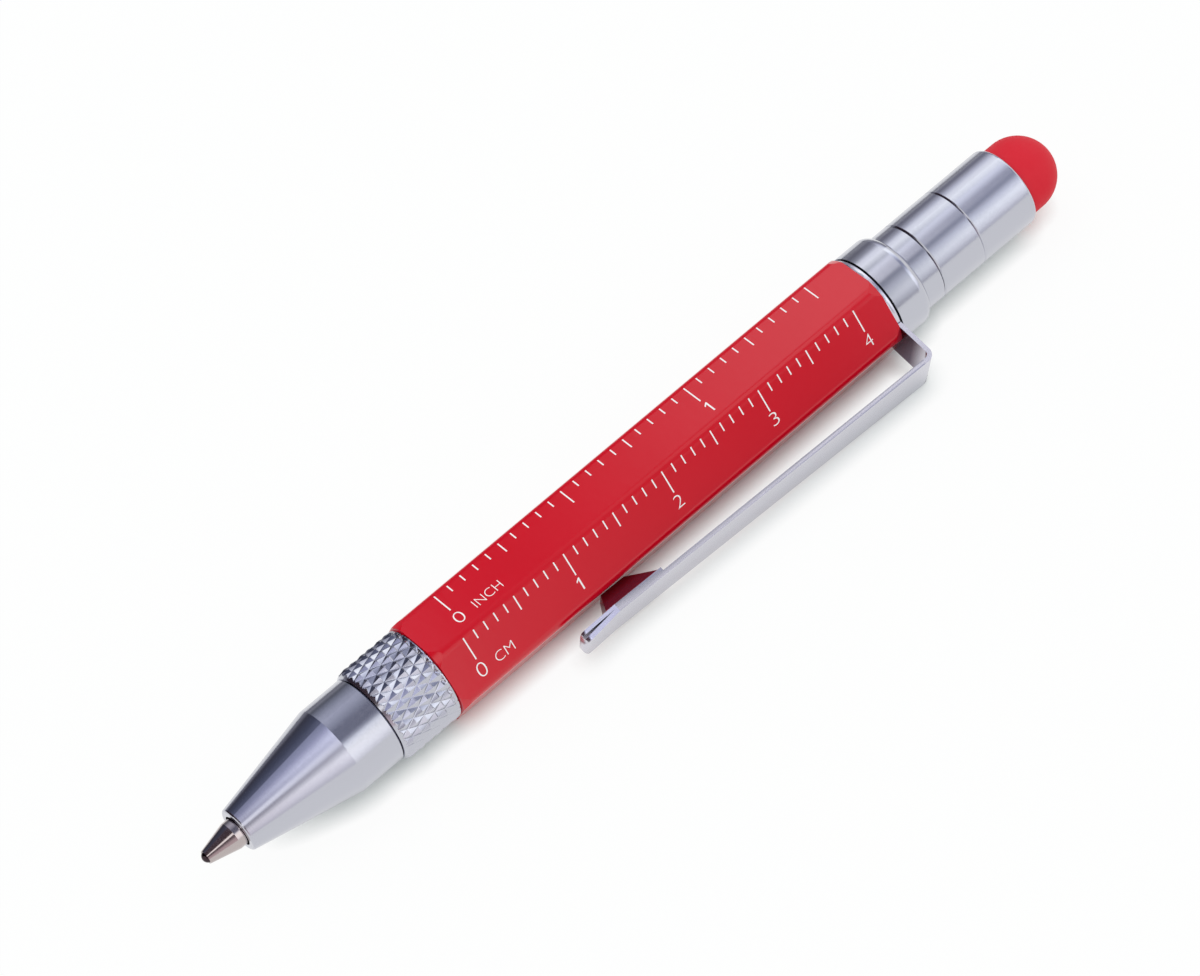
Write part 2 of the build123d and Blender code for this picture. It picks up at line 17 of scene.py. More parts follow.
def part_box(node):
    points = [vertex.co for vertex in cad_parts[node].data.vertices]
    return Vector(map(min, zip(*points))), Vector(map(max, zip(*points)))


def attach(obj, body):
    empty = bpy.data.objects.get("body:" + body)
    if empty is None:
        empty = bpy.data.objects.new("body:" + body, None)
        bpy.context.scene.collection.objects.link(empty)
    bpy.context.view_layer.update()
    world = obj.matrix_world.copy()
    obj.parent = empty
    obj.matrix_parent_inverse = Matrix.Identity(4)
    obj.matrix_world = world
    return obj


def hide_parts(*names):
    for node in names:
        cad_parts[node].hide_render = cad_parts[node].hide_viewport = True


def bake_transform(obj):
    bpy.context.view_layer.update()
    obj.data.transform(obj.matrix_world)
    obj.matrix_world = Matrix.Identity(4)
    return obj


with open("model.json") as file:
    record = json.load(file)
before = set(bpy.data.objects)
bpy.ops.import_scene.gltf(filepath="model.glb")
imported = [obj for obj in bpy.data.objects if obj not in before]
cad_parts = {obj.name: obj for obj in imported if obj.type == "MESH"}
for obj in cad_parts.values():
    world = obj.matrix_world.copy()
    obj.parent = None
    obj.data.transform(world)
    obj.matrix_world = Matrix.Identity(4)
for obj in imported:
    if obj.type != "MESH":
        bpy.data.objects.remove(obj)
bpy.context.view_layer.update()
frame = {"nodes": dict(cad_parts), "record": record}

mm = 0.001
barrel_low, barrel_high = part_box("hex_barrel")
axis_height = (barrel_low.z + barrel_high.z) / 2
flat_distance = (barrel_high.z - barrel_low.z) / 2
thread_pitch = 0.5 * mm
# vertices closer than this are one
same_place = 0.0005 * mm


def linear(hex_colour):
    """Linear colour with alpha from an sRGB hex colour."""
    shares = [int(hex_colour[i : i + 2], 16) / 255 for i in (1, 3, 5)]
    return tuple(
        s / 12.92 if s <= 0.04045 else ((s + 0.055) / 1.055) ** 2.4 for s in shares
    ) + (1.0,)


def add_node(tree, kind, inputs=None, **settings):
    """Add a node with its settings. An input is a value, or a socket or node to link."""
    node = tree.nodes.new(kind)
    for name, value in settings.items():
        setattr(node, name, value)
    for name, value in (inputs or {}).items():
        if isinstance(value, bpy.types.Node):
            value = value.outputs[0]
        if isinstance(value, bpy.types.NodeSocket):
            tree.links.new(value, node.inputs[name])
        else:
            node.inputs[name].default_value = value
    return node


# Finishes. Patterns are on Object coordinates, and their scales come from real sizes.


def new_finish(name, colour, metallic, roughness, **sockets):
    """A material with its shader, and the Object coordinates that its patterns read."""
    finish = bpy.data.materials.new(name)
    finish.use_nodes = True
    tree = finish.node_tree
    tree.nodes.clear()
    shader = add_node(
        tree,
        "ShaderNodeBsdfPrincipled",
        {"Base Color": linear(colour), "Metallic": metallic, "Roughness": roughness},
    )
    for socket, value in sockets.items():
        shader.inputs[socket.replace("_", " ")].default_value = value
    add_node(tree, "ShaderNodeOutputMaterial", {"Surface": shader})
    place = add_node(tree, "ShaderNodeTexCoord").outputs["Object"]
    return finish, tree, shader, place


def wear(tree, shader, pattern, spread, strength, depth):
    """Let a pattern vary the roughness by this spread to either side, and its relief."""
    roughness = shader.inputs["Roughness"].default_value
    dull = add_node(
        tree,
        "ShaderNodeMapRange",
        {"Value": pattern, 3: roughness - spread, 4: roughness + spread},
    )
    bump = add_node(
        tree,
        "ShaderNodeBump",
        {"Height": pattern, "Strength": strength, "Distance": depth},
    )
    tree.links.new(dull.outputs[0], shader.inputs["Roughness"])
    tree.links.new(bump.outputs[0], shader.inputs["Normal"])


def lacquer_finish():
    """Gloss red lacquer, sprayed on brass: a faint orange peel softens its glints."""
    patch_size, peel_size, peel_depth = 6 * mm, 0.7 * mm, 0.02 * mm
    finish, tree, shader, place = new_finish(
        "red_lacquer", "#CB0520", 0.0, 0.14, IOR=1.5
    )
    patches = add_node(
        tree, "ShaderNodeTexNoise", {"Vector": place, "Scale": 1 / patch_size}
    )
    colour = add_node(
        tree,
        "ShaderNodeMix",
        {
            "Factor": patches.outputs["Fac"],
            6: linear("#CA041D"),
            7: linear("#CF0622"),
        },
        data_type="RGBA",
    )
    tree.links.new(colour.outputs[2], shader.inputs["Base Color"])
    peel = add_node(
        tree,
        "ShaderNodeTexNoise",
        {"Vector": place, "Scale": 1 / peel_size, "Detail": 1.0},
    )
    bump = add_node(
        tree,
        "ShaderNodeBump",
        {"Height": peel.outputs["Fac"], "Strength": 0.12, "Distance": peel_depth},
    )
    tree.links.new(bump.outputs[0], shader.inputs["Normal"])
    return finish


def turned_finish(name, colour, roughness, mark_depth=0.0008 * mm, threads=()):
    """A metal turned on a lathe: fine rings round the axis, and the threads it has."""
    finish, tree, shader, place = new_finish(name, colour, 1.0, roughness)
    along = add_node(tree, "ShaderNodeSeparateXYZ", {"Vector": place})
    # real turning marks are near 0.03 mm apart; these are drawn coarser, so that they show
    mark_spacing, grain_size, dull_spread = 0.12 * mm, 0.16 * mm, 0.05
    marks = add_node(
        tree,
        "ShaderNodeTexNoise",
        {
            "W": add_node(
                tree,
                "ShaderNodeMath",
                {0: along.outputs["X"], 1: 1 / mark_spacing},
                operation="MULTIPLY",
            ),
            "Scale": 1.0,
            "Detail": 2.0,
        },
        noise_dimensions="1D",
    )
    grain = add_node(
        tree,
        "ShaderNodeTexNoise",
        {"Vector": place, "Scale": 1 / grain_size, "Detail": 2.0},
    )
    dull = add_node(
        tree,
        "ShaderNodeMapRange",
        {
            "Value": grain.outputs["Fac"],
            3: roughness - dull_spread,
            4: roughness + dull_spread,
        },
    )
    tree.links.new(dull.outputs[0], shader.inputs["Roughness"])
    bump = add_node(
        tree,
        "ShaderNodeBump",
        {"Height": marks.outputs["Fac"], "Strength": 0.5, "Distance": mark_depth},
    )
    if threads:
        around = add_node(
            tree,
            "ShaderNodeMath",
            {
                0: along.outputs["Y"],
                1: add_node(
                    tree,
                    "ShaderNodeMath",
                    {0: along.outputs["Z"], 1: axis_height},
                    operation="SUBTRACT",
                ),
            },
            operation="ARCTAN2",
        )
        turns = add_node(
            tree,
            "ShaderNodeMath",
            {0: around, 1: 1 / math.tau, 2: 0.5},
            operation="MULTIPLY_ADD",
        )
        pitches = add_node(
            tree,
            "ShaderNodeMath",
            {0: along.outputs["X"], 1: 1 / thread_pitch, 2: turns},
            operation="MULTIPLY_ADD",
        )
        wave = add_node(
            tree, "ShaderNodeMath", {0: pitches, 1: 0.5}, operation="PINGPONG"
        )
    for low, high in threads:
        from_middle = add_node(
            tree,
            "ShaderNodeMath",
            {0: along.outputs["X"], 1: (low + high) / 2, 2: (high - low) / 2},
            operation="COMPARE",
        )
        cut = add_node(
            tree, "ShaderNodeMath", {0: wave, 1: from_middle}, operation="MULTIPLY"
        )
        bump = add_node(
            tree,
            "ShaderNodeBump",
            {
                "Height": cut,
                "Strength": 1.0,
                "Distance": thread_pitch,
                "Normal": bump,
            },
        )
    tree.links.new(bump.outputs[0], shader.inputs["Normal"])
    return finish


def brushed_finish(name, colour, roughness):
    """A metal strip brushed lengthwise: long fine lines, a little deeper than real ones."""
    finish, tree, shader, place = new_finish(name, colour, 1.0, roughness)
    line_length, line_width, line_depth = 4 * mm, 0.08 * mm, 0.002 * mm
    lines = add_node(
        tree,
        "ShaderNodeMapping",
        {"Vector": place, "Scale": (1 / line_length, 1 / line_width, 1 / line_width)},
    )
    scratch = add_node(
        tree, "ShaderNodeTexNoise", {"Vector": lines, "Scale": 1.0, "Detail": 2.0}
    )
    wear(tree, shader, scratch.outputs["Fac"], 0.06, 0.4, line_depth)
    return finish


def moulded_finish(name, colour, roughness, grain_size, grain_depth, **sockets):
    """Moulded plastic or rubber: an even colour with the fine grain of its mould."""
    finish, tree, shader, place = new_finish(name, colour, 0.0, roughness, **sockets)
    grain = add_node(
        tree,
        "ShaderNodeTexNoise",
        {"Vector": place, "Scale": 1 / grain_size, "Detail": 2.0},
    )
    wear(tree, shader, grain.outputs["Fac"], 0.06, 0.5, grain_depth)
    return finish


# the clip stands out from the pen's axis at this turn, and its arm leans in towards the tip
clip_turn = math.radians(107)
clip_out = Vector((0, -math.sin(clip_turn), math.cos(clip_turn)))
clip_lean = math.asin(0.96 / 34.8)


def paint_clip_reflections(finish):
    """Paint dark reflections on the clip's pad and its root's inner face, in place of the
    barrel's shade that they mirror.
    """
    tree = finish.node_tree
    place = add_node(tree, "ShaderNodeTexCoord").outputs["Object"]
    # how far a place lies inside the inner face of the folded tip, which leans with the arm
    depth = add_node(
        tree,
        "ShaderNodeVectorMath",
        {0: place, 1: (math.tan(clip_lean), -clip_out.y, -clip_out.z)},
        operation="DOT_PRODUCT",
    ).outputs["Value"]
    reach_at_middle = 6.093 * mm
    inner_face = -reach_at_middle - axis_height * clip_out.z
    # the painted dark reflection covers the pad from that face on, and on the root it
    # deepens slowly towards the barrel
    pad_reflection_share, root_reflection_share = (
        add_node(
            tree,
            "ShaderNodeMapRange",
            {"Value": depth, 1: inner_face + start, 2: inner_face + end},
        )
        for start, end in ((0.03 * mm, 0.12 * mm), (0.0, 1.4 * mm))
    )
    facing = add_node(
        tree,
        "ShaderNodeSeparateXYZ",
        {0: add_node(tree, "ShaderNodeNewGeometry").outputs["Normal"]},
    )
    faces_front = add_node(
        tree,
        "ShaderNodeMath",
        {0: facing.outputs["X"], 1: -0.5},
        operation="LESS_THAN",
    )
    along = add_node(tree, "ShaderNodeSeparateXYZ", {0: place})
    at_root = add_node(
        tree, "ShaderNodeMath", {0: along.outputs["X"], 1: 0.0}, operation="GREATER_THAN"
    )
    inner_root_reflection_share = add_node(
        tree, "ShaderNodeMath", {0: root_reflection_share, 1: faces_front}, operation="MULTIPLY"
    )
    # painted reflections: dark red on the pad, dark grey on the root's inner face, for the
    # shaded barrel they mirror
    steel = tree.nodes["Principled BSDF"].inputs["Base Color"]
    pad_painted_reflection, root_painted_reflection = (
        add_node(
            tree,
            "ShaderNodeMix",
            {0: share, 6: tuple(steel.default_value), 7: linear(shade)},
            data_type="RGBA",
        )
        for share, shade in ((pad_reflection_share, "#80394F"), (inner_root_reflection_share, "#5E4A5E"))
    )
    clip_painted_reflection = add_node(
        tree,
        "ShaderNodeMix",
        {0: at_root, 6: pad_painted_reflection.outputs[2], 7: root_painted_reflection.outputs[2]},
        data_type="RGBA",
    )
    tree.links.new(clip_painted_reflection.outputs[2], steel)
    return finish


# threads: the nose's on the front bushing, and the cap's at the back of the bit holder
spigot_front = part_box("front_bushing")[0].x
nose_thread_end = barrel_low.x - 5.4 * mm
holder_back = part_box("bit_holder")[1].x
cap_thread_start = holder_back - 2.1 * mm

finishes = {
    "red_lacquer": lacquer_finish(),
    # satin chrome over turned brass: pale, slightly blue, with soft wide reflections
    "satin_chrome": turned_finish("satin_chrome", "#C1C2CB", 0.17),
    # nickel plated spring steel, brushed along the strip: pale and soft, with painted dark
    # reflections on its pad and root
    "spring_steel": paint_clip_reflections(brushed_finish("spring_steel", "#D2D0D9", 0.23)),
    # bare brass from the lathe, warm and fairly bright, with both threads cut in it
    "turned_brass": turned_finish(
        "turned_brass",
        "#D9B66A",
        0.28,
        threads=[(spigot_front, nose_thread_end), (cap_thread_start, holder_back)],
    ),
    # acetal and nylon mechanism parts: natural white, half matt
    "moulded_nylon": moulded_finish(
        "moulded_nylon", "#E9E6DC", 0.45, 0.3 * mm, 0.01 * mm, IOR=1.53
    ),
    # black nylon washer and rear bushing: the dark line in front of the collar
    "dark_nylon": moulded_finish(
        "dark_nylon", "#17171A", 0.5, 0.3 * mm, 0.01 * mm, IOR=1.53
    ),
    # ground steel pin: bright and close to a mirror
    "ground_steel": turned_finish("ground_steel", "#B4B5B8", 0.18),
    # hardened tool steel with its dark heat-treated skin
    "tool_steel": brushed_finish("tool_steel", "#77777C", 0.36),
    # nickel plated magnet: bright and even
    "plated_magnet": turned_finish("plated_magnet", "#C4C4C6", 0.16),
    # polished tungsten carbide ball, dark with its film of ink
    "carbide": turned_finish("carbide", "#41363B", 0.08, mark_depth=0.0003 * mm),
    # polished nickel silver writing tip: a faint warm tint
    "nickel_silver": turned_finish("nickel_silver", "#BAB0AF", 0.12),
    # drawn brass ink tube: yellow, with fine lines along it
    "refill_brass": brushed_finish("refill_brass", "#DCC07C", 0.24),
    # red conductive silicone rubber: dull, with a soft skin
    "silicone_rubber": moulded_finish(
        "silicone_rubber",
        "#D80A26",
        0.62,
        0.12 * mm,
        0.012 * mm,
        IOR=1.41,
        Specular_IOR_Level=0.4,
    ),
}

for part in frame["record"]["subparts"]:
    node = frame["nodes"][part["node"]]
    node.data.materials.clear()
    node.data.materials.append(finishes[part["material_slot"]])

# white pad-printing ink: opaque and slightly matt
printed_ink = moulded_finish(
    "printed_ink", "#F4F2F3", 0.5, 0.2 * mm, 0.002 * mm, IOR=1.5
)


# Pieces made by a rule


def new_rule(name, sizes):
    """A Geometry Nodes tree with one named input for each size."""
    tree = bpy.data.node_groups.new(name, "GeometryNodeTree")
    for size, kind in sizes.items():
        tree.interface.new_socket(size, in_out="INPUT", socket_type=kind)
    tree.interface.new_socket(
        "Geometry", in_out="OUTPUT", socket_type="NodeSocketGeometry"
    )
    return tree, tree.nodes.new("NodeGroupInput").outputs


def made_by(tree, name, sizes):
    """Run a tree with these sizes, and return the result as a plain mesh."""
    blank = bpy.data.objects.new(name + "_blank", bpy.data.meshes.new(name + "_blank"))
    bpy.context.scene.collection.objects.link(blank)
    rule = blank.modifiers.new(name, "NODES")
    rule.node_group = tree
    for item in tree.interface.items_tree:
        if item.item_type == "SOCKET" and item.in_out == "INPUT":
            rule[item.identifier] = sizes[item.name]
    shaped = blank.evaluated_get(bpy.context.evaluated_depsgraph_get())
    mesh = bpy.data.meshes.new_from_object(shaped)
    bpy.data.objects.remove(blank)
    return mesh


def new_piece(name, mesh):
    """A piece at the origin that shows the mesh."""
    mesh.name = name
    piece = bpy.data.objects.new(name, mesh)
    bpy.context.scene.collection.objects.link(piece)
    return piece


# Grip ring: two families of V grooves, one each way round, leave pointed diamonds. A
# chamfer cuts them off at the front. A row of vertices on the bore closes each end.
knurl, size = new_rule(
    "diamond_knurl",
    {
        "Front": "NodeSocketFloat",
        "Back": "NodeSocketFloat",
        "Radius": "NodeSocketFloat",
        "Bore": "NodeSocketFloat",
        "Axis Height": "NodeSocketFloat",
        "Starts": "NodeSocketInt",
        "Lead Per Start": "NodeSocketFloat",
        "Groove Depth": "NodeSocketFloat",
        "Crest Share": "NodeSocketFloat",
        "Front Chamfer Length": "NodeSocketFloat",
        "Front Chamfer Depth": "NodeSocketFloat",
        "Back Chamfer": "NodeSocketFloat",
        "Run-out": "NodeSocketFloat",
        "Steps Along": "NodeSocketInt",
        "Steps Per Start": "NodeSocketInt",
        "Finish": "NodeSocketMaterial",
    },
)
columns = add_node(
    knurl,
    "ShaderNodeMath",
    {0: size["Starts"], 1: size["Steps Per Start"], 2: 1.0},
    operation="MULTIPLY_ADD",
)
rows = add_node(
    knurl, "ShaderNodeMath", {0: size["Steps Along"], 1: 3.0}, operation="ADD"
)
sheet = add_node(
    knurl,
    "GeometryNodeMeshGrid",
    {"Size X": 1.0, "Size Y": 1.0, "Vertices X": rows, "Vertices Y": columns},
)
grid_place = add_node(
    knurl,
    "ShaderNodeSeparateXYZ",
    {0: add_node(knurl, "GeometryNodeInputPosition")},
)
row = add_node(
    knurl,
    "ShaderNodeMath",
    {
        0: add_node(
            knurl,
            "ShaderNodeMath",
            {0: grid_place.outputs["X"], 1: 0.5},
            operation="ADD",
        ),
        1: add_node(
            knurl, "ShaderNodeMath", {0: size["Steps Along"], 1: 2.0}, operation="ADD"
        ),
    },
    operation="MULTIPLY",
)
row_share = add_node(
    knurl,
    "ShaderNodeMapRange",
    {
        "Value": row,
        1: 1.0,
        2: add_node(
            knurl, "ShaderNodeMath", {0: size["Steps Along"], 1: 1.0}, operation="ADD"
        ),
    },
)
station = add_node(
    knurl,
    "ShaderNodeMapRange",
    {"Value": row_share, 3: size["Front"], 4: size["Back"]},
)
from_front = add_node(
    knurl, "ShaderNodeMath", {0: station, 1: size["Front"]}, operation="SUBTRACT"
)
to_back = add_node(
    knurl, "ShaderNodeMath", {0: size["Back"], 1: station}, operation="SUBTRACT"
)
starts_round = add_node(
    knurl,
    "ShaderNodeMath",
    {0: grid_place.outputs["Y"], 1: size["Starts"]},
    operation="MULTIPLY",
)
leads_along = add_node(
    knurl,
    "ShaderNodeMath",
    {0: from_front, 1: size["Lead Per Start"]},
    operation="DIVIDE",
)
groove_shares = []
for way in ("ADD", "SUBTRACT"):
    phase = add_node(
        knurl, "ShaderNodeMath", {0: starts_round, 1: leads_along}, operation=way
    )
    ridge = add_node(knurl, "ShaderNodeMath", {0: phase, 1: 0.5}, operation="PINGPONG")
    groove_shares.append(
        add_node(
            knurl,
            "ShaderNodeMath",
            {0: ridge, 1: -2.0, 2: 1.0},
            operation="MULTIPLY_ADD",
        )
    )
deepest = add_node(
    knurl,
    "ShaderNodeMath",
    {0: groove_shares[0], 1: groove_shares[1]},
    operation="MAXIMUM",
)
cut_share = add_node(
    knurl, "ShaderNodeMapRange", {"Value": deepest, 1: size["Crest Share"], 2: 1.0}
)
cut = add_node(
    knurl,
    "ShaderNodeMath",
    {0: cut_share, 1: size["Groove Depth"]},
    operation="MULTIPLY",
)
front_cut = add_node(
    knurl,
    "ShaderNodeMapRange",
    {
        "Value": from_front,
        1: 0.0,
        2: size["Front Chamfer Length"],
        3: size["Front Chamfer Depth"],
        4: 0.0,
    },
)
back_cut = add_node(
    knurl,
    "ShaderNodeMapRange",
    {
        "Value": to_back,
        1: 0.0,
        2: size["Back Chamfer"],
        3: size["Back Chamfer"],
        4: 0.0,
    },
)
chamfer_cut = add_node(
    knurl, "ShaderNodeMath", {0: front_cut, 1: back_cut}, operation="MAXIMUM"
)
# the tool lifts out before the back edge, so the grooves run out there
run_out = add_node(
    knurl,
    "ShaderNodeMapRange",
    {"Value": to_back, 1: size["Back Chamfer"], 2: size["Run-out"]},
)
groove_cut = add_node(
    knurl, "ShaderNodeMath", {0: cut, 1: run_out}, operation="MULTIPLY"
)
all_cut = add_node(
    knurl, "ShaderNodeMath", {0: groove_cut, 1: chamfer_cut}, operation="MAXIMUM"
)
crest_radius = add_node(
    knurl, "ShaderNodeMath", {0: size["Radius"], 1: all_cut}, operation="SUBTRACT"
)
past_first = add_node(
    knurl, "ShaderNodeMath", {0: row, 1: 0.5}, operation="GREATER_THAN"
)
before_last = add_node(
    knurl,
    "ShaderNodeMath",
    {
        0: row,
        1: add_node(
            knurl, "ShaderNodeMath", {0: size["Steps Along"], 1: 1.5}, operation="ADD"
        ),
    },
    operation="LESS_THAN",
)
on_outside = add_node(
    knurl, "ShaderNodeMath", {0: past_first, 1: before_last}, operation="MULTIPLY"
)
ring_radius = add_node(
    knurl,
    "ShaderNodeMapRange",
    {"Value": on_outside, 3: size["Bore"], 4: crest_radius},
)
turn = add_node(
    knurl,
    "ShaderNodeMath",
    {0: grid_place.outputs["Y"], 1: math.tau},
    operation="MULTIPLY",
)
wrapped = []
for radius in (ring_radius, size["Bore"]):
    across = add_node(
        knurl,
        "ShaderNodeMath",
        {0: add_node(knurl, "ShaderNodeMath", {0: turn}, operation="SINE"), 1: radius},
        operation="MULTIPLY",
    )
    up = add_node(
        knurl,
        "ShaderNodeMath",
        {
            0: add_node(knurl, "ShaderNodeMath", {0: turn}, operation="COSINE"),
            1: radius,
            2: size["Axis Height"],
        },
        operation="MULTIPLY_ADD",
    )
    wrapped.append((across, up))
outside = add_node(
    knurl,
    "GeometryNodeSetPosition",
    {
        "Geometry": sheet,
        "Position": add_node(
            knurl,
            "ShaderNodeCombineXYZ",
            {"X": station, "Y": wrapped[0][0], "Z": wrapped[0][1]},
        ),
    },
)
bore_sheet = add_node(
    knurl,
    "GeometryNodeMeshGrid",
    {"Size X": 1.0, "Size Y": 1.0, "Vertices X": 2, "Vertices Y": columns},
)
bore_station = add_node(
    knurl,
    "ShaderNodeMapRange",
    {
        "Value": grid_place.outputs["X"],
        1: -0.5,
        2: 0.5,
        3: size["Front"],
        4: size["Back"],
    },
)
bore_wall = add_node(
    knurl,
    "GeometryNodeSetPosition",
    {
        "Geometry": bore_sheet,
        "Position": add_node(
            knurl,
            "ShaderNodeCombineXYZ",
            {"X": bore_station, "Y": wrapped[1][0], "Z": wrapped[1][1]},
        ),
    },
)
inward = add_node(knurl, "GeometryNodeFlipFaces", {"Mesh": bore_wall})
ring = add_node(knurl, "GeometryNodeJoinGeometry")
knurl.links.new(inward.outputs[0], ring.inputs[0])
knurl.links.new(outside.outputs[0], ring.inputs[0])
closed = add_node(
    knurl, "GeometryNodeMergeByDistance", {"Geometry": ring, "Distance": same_place}
)
real = add_node(knurl, "GeometryNodeRealizeInstances", {"Geometry": closed})
clad = add_node(
    knurl,
    "GeometryNodeSetMaterial",
    {"Geometry": real, "Material": size["Finish"]},
)
add_node(knurl, "NodeGroupOutput", {"Geometry": clad})

grip_low, grip_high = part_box("knurled_ring")
grip_radius = (grip_high.z - grip_low.z) / 2
grip_bore = 2.73 * mm
knurl_starts = 28
knurl_angle = math.radians(29)
start_width = math.tau * grip_radius / knurl_starts
knurled_grip = new_piece(
    "knurled_grip",
    made_by(
        knurl,
        "knurled_grip",
        {
            "Front": grip_low.x,
            "Back": grip_high.x,
            "Radius": grip_radius,
            "Bore": grip_bore,
            "Axis Height": axis_height,
            "Starts": knurl_starts,
            "Lead Per Start": start_width / math.tan(knurl_angle),
            "Groove Depth": 0.19 * mm,
            "Crest Share": 0.12,
            "Front Chamfer Length": 0.45 * mm,
            "Front Chamfer Depth": 0.3 * mm,
            "Back Chamfer": 0.1 * mm,
            "Run-out": 0.4 * mm,
            "Steps Along": 66,
            "Steps Per Start": 20,
            "Finish": finishes["satin_chrome"],
        },
    ),
)
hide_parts("knurled_ring")
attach(knurled_grip, "barrel")


# Ruler: a row of strokes in up to four lengths along one edge of a flat, then its figures
scale, size = new_rule(
    "ruler_strokes",
    {
        "Strokes": "NodeSocketInt",
        "First": "NodeSocketFloat",
        "Step": "NodeSocketFloat",
        "Edge": "NodeSocketFloat",
        "Width": "NodeSocketFloat",
        "Ink": "NodeSocketFloat",
        "Rise": "NodeSocketFloat",
        "Each": "NodeSocketFloat",
        "Each Fifth": "NodeSocketFloat",
        "Each Tenth": "NodeSocketFloat",
        "Each Twentieth": "NodeSocketFloat",
        "Finish": "NodeSocketMaterial",
    },
)
stroke_row = add_node(
    scale,
    "GeometryNodeMeshLine",
    {
        "Count": size["Strokes"],
        "Start Location": add_node(scale, "ShaderNodeCombineXYZ", {"X": size["First"]}),
        "Offset": add_node(scale, "ShaderNodeCombineXYZ", {"X": size["Step"]}),
    },
)
stroke_number = add_node(scale, "GeometryNodeInputIndex")
stroke_length = size["Each"]
for name, every in (("Each Fifth", 5), ("Each Tenth", 10), ("Each Twentieth", 20)):
    left_over = add_node(
        scale, "ShaderNodeMath", {0: stroke_number, 1: float(every)}, operation="MODULO"
    )
    fits = add_node(
        scale, "ShaderNodeMath", {0: left_over, 1: 0.5}, operation="LESS_THAN"
    )
    stroke_length = add_node(
        scale, "ShaderNodeMapRange", {"Value": fits, 3: stroke_length, 4: size[name]}
    )
stroke_middle = add_node(
    scale,
    "ShaderNodeMath",
    {0: stroke_length, 1: -0.5, 2: size["Edge"]},
    operation="MULTIPLY_ADD",
)
stroke_height = add_node(
    scale,
    "ShaderNodeMath",
    {0: size["Ink"], 1: -0.5, 2: size["Rise"]},
    operation="MULTIPLY_ADD",
)
placed_row = add_node(
    scale,
    "GeometryNodeSetPosition",
    {
        "Geometry": stroke_row,
        "Offset": add_node(
            scale, "ShaderNodeCombineXYZ", {"Y": stroke_middle, "Z": stroke_height}
        ),
    },
)
strokes = add_node(
    scale,
    "GeometryNodeInstanceOnPoints",
    {
        "Points": placed_row,
        "Instance": add_node(scale, "GeometryNodeMeshCube", {"Size": (1, 1, 1)}),
        "Scale": add_node(
            scale,
            "ShaderNodeCombineXYZ",
            {"X": size["Width"], "Y": stroke_length, "Z": size["Ink"]},
        ),
    },
)
real_strokes = add_node(scale, "GeometryNodeRealizeInstances", {"Geometry": strokes})
inked = add_node(
    scale,
    "GeometryNodeSetMaterial",
    {"Geometry": real_strokes, "Material": size["Finish"]},
)
add_node(scale, "NodeGroupOutput", {"Geometry": inked})

# the ink is sunk in the flat for the most part, and its top stands just proud
ink_thickness = 0.02 * mm
ink_rise = 0.004 * mm
stroke_width = 0.11 * mm
scale_start = barrel_low.x + 2.67 * mm
figure_height = 1.05 * mm
figure_width = 0.68 * figure_height
word_height = 0.8 * mm
# the figures' outlines are drawn in by this share of the letter size, for thin strokes
stroke_thinning = -0.02


def flat_place(degrees):
    """Where a flat of the barrel is: its own X along the pen, Y across it, Z outwards."""
    turned = Matrix.Rotation(math.radians(degrees), 4, "X")
    return (
        Matrix.Translation((0, 0, axis_height))
        @ turned
        @ Matrix.Translation((0, 0, flat_distance))
    )


def inked_shape(mesh, along, across, size_along, size_across):
    """Stretch a flat shape to this size, and print it this far past the scale's start."""
    low = Vector([min(v.co[i] for v in mesh.vertices) for i in range(3)])
    high = Vector([max(v.co[i] for v in mesh.vertices) for i in range(3)])
    reach = high - low
    mesh.transform(
        Matrix.Translation((scale_start + along, across, ink_rise - ink_thickness / 2))
        @ Matrix.Diagonal(
            (size_along / reach.x, size_across / reach.y, ink_thickness / reach.z, 1)
        )
        @ Matrix.Translation(-(low + high) / 2)
    )
    mesh.materials.clear()
    mesh.materials.append(printed_ink)
    return mesh


def figure(words, along, across, height, width):
    """Figures or words in thin strokes, as a flat mesh."""
    curve = bpy.data.curves.new("figure", "FONT")
    curve.body = words
    curve.extrude = 0.5
    curve.offset = stroke_thinning
    blank = bpy.data.objects.new("figure", curve)
    bpy.context.scene.collection.objects.link(blank)
    mesh = bpy.data.meshes.new_from_object(
        blank.evaluated_get(bpy.context.evaluated_depsgraph_get())
    )
    bpy.data.objects.remove(blank)
    return inked_shape(mesh, along, across, width, height)


def figure_one(along, across):
    """A plain figure one: an upright stroke with a short slanted flag."""
    outline = [
        (0.0, 0.0),
        (0.12, 0.0),
        (0.12, 1.0),
        (0.03, 1.0),
        (-0.2, 0.8),
        (-0.2, 0.68),
        (0.0, 0.82),
    ]
    shape = bmesh.new()
    face = shape.faces.new([shape.verts.new((x, y, 0)) for x, y in outline])
    lifted = bmesh.ops.extrude_face_region(shape, geom=[face])["geom"]
    bmesh.ops.translate(
        shape,
        verts=[item for item in lifted if isinstance(item, bmesh.types.BMVert)],
        vec=(0, 0, 1),
    )
    bmesh.ops.recalc_face_normals(shape, faces=shape.faces)
    mesh = bpy.data.meshes.new("figure_one")
    shape.to_mesh(mesh)
    shape.free()
    return inked_shape(mesh, along, across, 0.34 * figure_height, figure_height)


def ruler(name, strokes, figures, one_place):
    """The meshes of one scale: its strokes, its figures and words, and its figure one."""
    meshes = [
        made_by(
            scale,
            name,
            {
                "Width": stroke_width,
                "Ink": ink_thickness,
                "Rise": ink_rise,
                "Finish": printed_ink,
                **strokes,
            },
        )
    ]
    for words, along, across, height, width in figures:
        meshes.append(figure(words, along, across, height, width))
    meshes.append(figure_one(*one_place))
    return meshes


